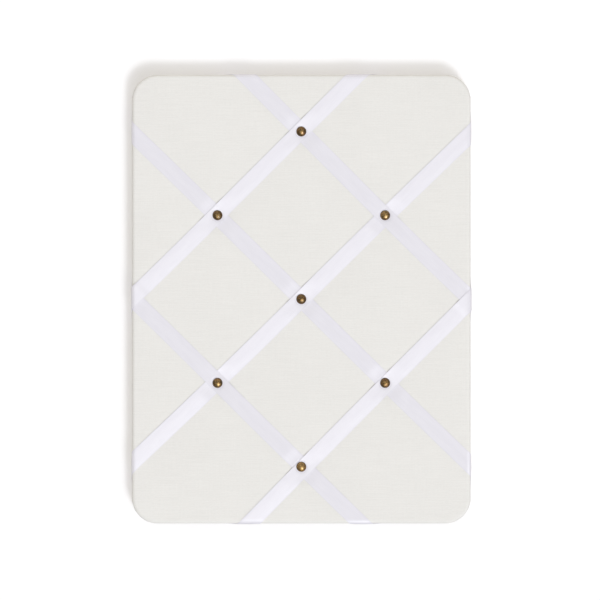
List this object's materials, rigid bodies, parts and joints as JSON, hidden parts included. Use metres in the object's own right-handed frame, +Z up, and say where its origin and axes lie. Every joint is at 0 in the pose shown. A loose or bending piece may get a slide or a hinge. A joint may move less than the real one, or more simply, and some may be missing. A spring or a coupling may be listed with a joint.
{
  "type": "french memo board",
  "caption": "Padded fabric-covered memo board with crossed satin ribbons held by domed nails, and D-ring hangers on its back for hanging on a wall.",
  "frame": {"origin": "on the wall plane that the back rests against, behind the middle of the board's outline", "axes": "+Z up, +X to the right as seen from the front, +Y from the front towards the wall"},
  "size_m": [0.3842, 0.031, 0.5066],
  "materials": {
    "fabric": "matt woven cream cotton",
    "ribbon": "white satin",
    "brass": "antique brass",
    "wadding": "soft polyester wadding",
    "fibreboard": "raw fibreboard",
    "hardboard": "smooth hardboard",
    "steel": "zinc plated",
    "felt": "felt"
  },
  "bodies": {
    "board": {"core_board": "fibreboard", "padding": "wadding", "fabric_cover": "fabric", "back_cover": "hardboard", "ribbon_rising_upper": "ribbon", "ribbon_rising_middle": "ribbon", "ribbon_rising_lower": "ribbon", "ribbon_falling_upper": "ribbon", "ribbon_falling_middle": "ribbon", "ribbon_falling_lower": "ribbon", "nail_top": "brass", "nail_upper_left": "brass", "nail_upper_right": "brass", "nail_centre": "brass", "nail_lower_left": "brass", "nail_lower_right": "brass", "nail_bottom": "brass", "ribbon_staple_1": "steel", "ribbon_staple_2": "steel", "ribbon_staple_3": "steel", "ribbon_staple_4": "steel", "ribbon_staple_5": "steel", "ribbon_staple_6": "steel", "ribbon_staple_7": "steel", "ribbon_staple_8": "steel", "ribbon_staple_9": "steel", "ribbon_staple_10": "steel", "ribbon_staple_11": "steel", "ribbon_staple_12": "steel", "fabric_staple_1": "steel", "fabric_staple_2": "steel", "fabric_staple_3": "steel", "fabric_staple_4": "steel", "fabric_staple_5": "steel", "fabric_staple_6": "steel", "fabric_staple_7": "steel", "fabric_staple_8": "steel", "back_staple_1": "steel", "back_staple_2": "steel", "back_staple_3": "steel", "back_staple_4": "steel", "back_staple_5": "steel", "back_staple_6": "steel", "back_staple_7": "steel", "back_staple_8": "steel", "hanger_strap_left": "steel", "hanger_screw_left": "steel", "hanger_strap_right": "steel", "hanger_screw_right": "steel", "wall_bumper_left": "felt", "wall_bumper_right": "felt"},
    "left_ring": {"hanger_ring_left": "steel"},
    "right_ring": {"hanger_ring_right": "steel"}
  },
  "joints": [
    {"name": "left_ring_hinge", "type": "hinge", "parent": "board", "child": "left_ring", "pos_m": [-0.1, -0.00265, 0.1825], "axis": [-1, 0, 0], "range_deg": [0, 170]},
    {"name": "right_ring_hinge", "type": "hinge", "parent": "board", "child": "right_ring", "pos_m": [0.1, -0.00265, 0.1825], "axis": [-1, 0, 0], "range_deg": [0, 170]}
  ]
}
